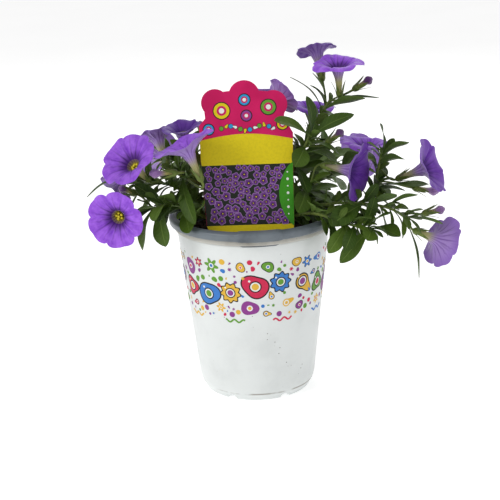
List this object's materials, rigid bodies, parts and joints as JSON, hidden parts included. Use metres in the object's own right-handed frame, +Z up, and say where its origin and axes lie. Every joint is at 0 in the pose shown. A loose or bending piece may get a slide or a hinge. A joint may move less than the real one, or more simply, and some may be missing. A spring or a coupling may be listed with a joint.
{
  "type": "potted calibrachoa plant",
  "caption": "Purple calibrachoa in bloom, its leafy stems spilling over a round tapered nursery pot with a rolled rim and a lobed plant tag standing in the soil.",
  "frame": {"origin": "middle of the pot's foot, on the surface that it stands on", "axes": "+Z up along the pot's axis, -Y towards the front of the plant tag, +X to the right of the tag"},
  "size_m": [0.2379, 0.1682, 0.2276],
  "materials": {
    "pot_plastic": "semi-gloss moulded plastic, white outside, grey rim and inside",
    "potting_mix": "loose dark peat and bark",
    "tag_plastic": "printed plastic sheet",
    "green_growth": "soft matt leaves and stems",
    "petal": "thin velvety petals",
    "bud": "rolled petals"
  },
  "bodies": {
    "root": {"pot": "pot_plastic", "soil": "potting_mix", "plant_tag": "tag_plastic", "leafy_stem_left_low": "green_growth", "leafy_stem_left_mid": "green_growth", "leafy_stem_left_high": "green_growth", "leafy_stem_left_back": "green_growth", "leafy_stem_left_droop": "green_growth", "leafy_stem_top": "green_growth", "leafy_stem_centre": "green_growth", "leafy_stem_behind_tag": "green_growth", "leafy_stem_right_mid": "green_growth", "leafy_stem_right_behind": "green_growth", "leafy_stem_right_far": "green_growth", "leafy_stem_right_low": "green_growth", "leafy_stem_right_front": "green_growth", "leafy_stem_back_left": "green_growth", "leafy_stem_back_mid": "green_growth", "leafy_stem_back_right": "green_growth", "bloom_low_left": "petal", "bloom_behind_left": "petal", "bloom_upper_left": "petal", "bloom_front_left": "petal", "bloom_dark_left": "petal", "bloom_pale_left": "petal", "bloom_top_front": "petal", "bloom_top_back": "petal", "bloom_behind_tag": "petal", "bloom_mid_right": "petal", "bloom_right_middle": "petal", "bloom_right_behind": "petal", "bloom_far_right": "petal", "bloom_low_right": "petal", "bloom_far_left_back": "petal", "bloom_up_back": "petal", "bloom_far_right_back": "petal", "bud_front_left": "bud", "bud_low_left": "bud", "bud_top": "bud", "bud_centre": "bud", "bud_right_far": "bud", "bud_right_low": "bud", "bud_back": "bud", "bud_back_right": "bud"}
  },
  "joints": []
}
